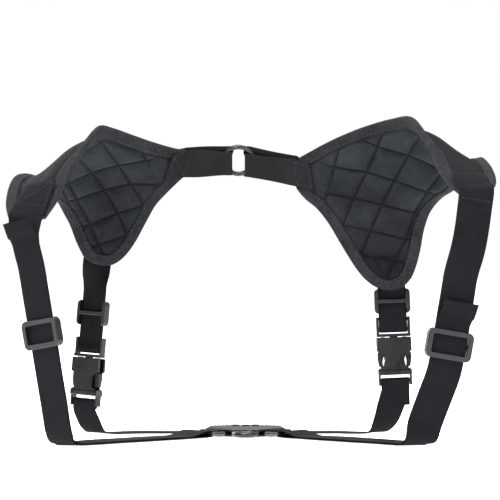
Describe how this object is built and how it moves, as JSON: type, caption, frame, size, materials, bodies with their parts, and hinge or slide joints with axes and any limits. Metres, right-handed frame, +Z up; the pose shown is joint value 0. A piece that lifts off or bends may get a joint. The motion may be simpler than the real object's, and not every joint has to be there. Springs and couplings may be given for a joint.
{
  "type": "saxophone neck strap",
  "caption": "Double-shoulder harness with quilted pads, webbing straps with adjusters, side-release buckles, and a yoke with a swivel snap hook.",
  "frame": {"origin": "midway between the shoulders at the level where the pads rest, the mount shoulder_rest", "axes": "+Z up, the wearer faces -Y, +X across the shoulders to the wearer's left"},
  "size_m": [0.4213, 0.1968, 0.2834],
  "materials": {
    "lining": "matte quilted knit",
    "outer_fabric": "matte plain weave",
    "foam": "open cell foam",
    "binding": "ribbed tape",
    "front_webbing": "woven webbing",
    "side_webbing": "woven webbing",
    "leather": "grained leather",
    "plastic": "satin moulded",
    "ring_plastic": "satin",
    "steel": "black plated",
    "hook_plastic": "satin"
  },
  "bodies": {
    "harness": {"hook_tab": "leather", "left_buckle_male": "plastic", "left_front_strap": "front_webbing", "left_lower_side_strap": "side_webbing", "left_pad_binding": "binding", "left_pad_foam": "foam", "left_pad_lining": "lining", "left_pad_outer": "outer_fabric", "left_ring_link": "side_webbing", "left_side_strap": "side_webbing", "left_square_ring": "steel", "left_yoke_keeper": "side_webbing", "right_buckle_male": "plastic", "right_front_strap": "front_webbing", "right_lower_side_strap": "side_webbing", "right_pad_binding": "binding", "right_pad_foam": "foam", "right_pad_lining": "lining", "right_pad_outer": "outer_fabric", "right_ring_link": "side_webbing", "right_side_strap": "side_webbing", "right_square_ring": "steel", "right_yoke_keeper": "side_webbing", "yoke_leather_lower": "leather", "yoke_leather_upper": "leather", "yoke_rivets": "steel"},
    "hook": {"hook_body": "hook_plastic", "hook_gate_pin": "steel"},
    "hook_eye": {"hook_eye": "hook_plastic"},
    "gate": {"hook_gate": "hook_plastic"},
    "left_arm_inner": {"left_buckle_arm_inner": "plastic"},
    "left_arm_outer": {"left_buckle_arm_outer": "plastic"},
    "left_buckle_socket": {"left_buckle_female": "plastic"},
    "left_triglide": {"left_front_triglide": "plastic"},
    "left_slider": {"left_side_slider": "plastic"},
    "right_arm_inner": {"right_buckle_arm_inner": "plastic"},
    "right_arm_outer": {"right_buckle_arm_outer": "plastic"},
    "right_buckle_socket": {"right_buckle_female": "plastic"},
    "right_triglide": {"right_front_triglide": "plastic"},
    "right_slider": {"right_side_slider": "plastic"},
    "ring": {"shoulder_ring": "ring_plastic"}
  },
  "joints": [
    {"name": "ring_spin", "type": "hinge", "parent": "harness", "child": "ring", "pos_m": [-0.0103, 0.075, -0.0088], "axis": [0, -0.8829, -0.4695], "continuous": true},
    {"name": "left_triglide_slide", "type": "slide", "parent": "harness", "child": "left_triglide", "axis": [-0.1674, 0.0378, 0.9852], "range_m": [-0.012, 0.038]},
    {"name": "right_triglide_slide", "type": "slide", "parent": "harness", "child": "right_triglide", "axis": [0.1705, 0.0122, 0.9853], "range_m": [-0.005, 0.005]},
    {"name": "left_slider_slide", "type": "slide", "parent": "harness", "child": "left_slider", "axis": [0.0833, 0.0325, 0.996], "range_m": [-0.009, 0.009]},
    {"name": "right_slider_slide", "type": "slide", "parent": "harness", "child": "right_slider", "axis": [-0.0395, 0.0148, 0.9991], "range_m": [-0.0028, 0]},
    {"name": "left_buckle_release", "type": "slide", "parent": "harness", "child": "left_buckle_socket", "axis": [-0.0833, -0.0325, -0.996], "range_m": [0, 0.024], "deforming": ["left_lower_side_strap"]},
    {"name": "left_arm_outer_squeeze", "type": "hinge", "parent": "harness", "child": "left_arm_outer", "pos_m": [-0.15189, 0.07875, -0.18567], "axis": [-0.5832, -0.8089, 0.0752], "range_deg": [0, 7], "stiffness_Nm_per_rad": 0.4},
    {"name": "left_arm_inner_squeeze", "type": "hinge", "parent": "harness", "child": "left_arm_inner", "pos_m": [-0.13605, 0.06725, -0.18662], "axis": [0.5832, 0.8089, -0.0752], "range_deg": [0, 7], "stiffness_Nm_per_rad": 0.4},
    {"name": "right_buckle_release", "type": "slide", "parent": "harness", "child": "right_buckle_socket", "axis": [0.0395, -0.0148, -0.9991], "range_m": [0, 0.024], "deforming": ["right_lower_side_strap"]},
    {"name": "right_arm_outer_squeeze", "type": "hinge", "parent": "harness", "child": "right_arm_outer", "pos_m": [0.11883, 0.07576, -0.16829], "axis": [0.0517, -0.9985, 0.0169], "range_deg": [0, 7], "stiffness_Nm_per_rad": 0.4},
    {"name": "right_arm_inner_squeeze", "type": "hinge", "parent": "harness", "child": "right_arm_inner", "pos_m": [0.13838, 0.07679, -0.16753], "axis": [-0.0517, 0.9985, -0.0169], "range_deg": [0, 7], "stiffness_Nm_per_rad": 0.4},
    {"name": "hook_eye_tilt", "type": "hinge", "parent": "harness", "child": "hook_eye", "pos_m": [-0.004, 0.026, -0.2488], "axis": [-1, 0, 0], "range_deg": [0, 70]},
    {"name": "hook_swivel", "type": "hinge", "parent": "hook_eye", "child": "hook", "pos_m": [-0.004, 0.012, -0.2488], "axis": [0, 1, 0], "continuous": true},
    {"name": "gate_open", "type": "hinge", "parent": "hook", "child": "gate", "pos_m": [-0.00075, 0.00113, -0.2488], "axis": [0, 0, -1], "range_deg": [0, 28], "stiffness_Nm_per_rad": 0.02}
  ],
  "couplings": [
    {"joint": "left_arm_inner_squeeze", "follows": "left_arm_outer_squeeze", "ratio": 1},
    {"joint": "right_arm_inner_squeeze", "follows": "right_arm_outer_squeeze", "ratio": 1}
  ]
}
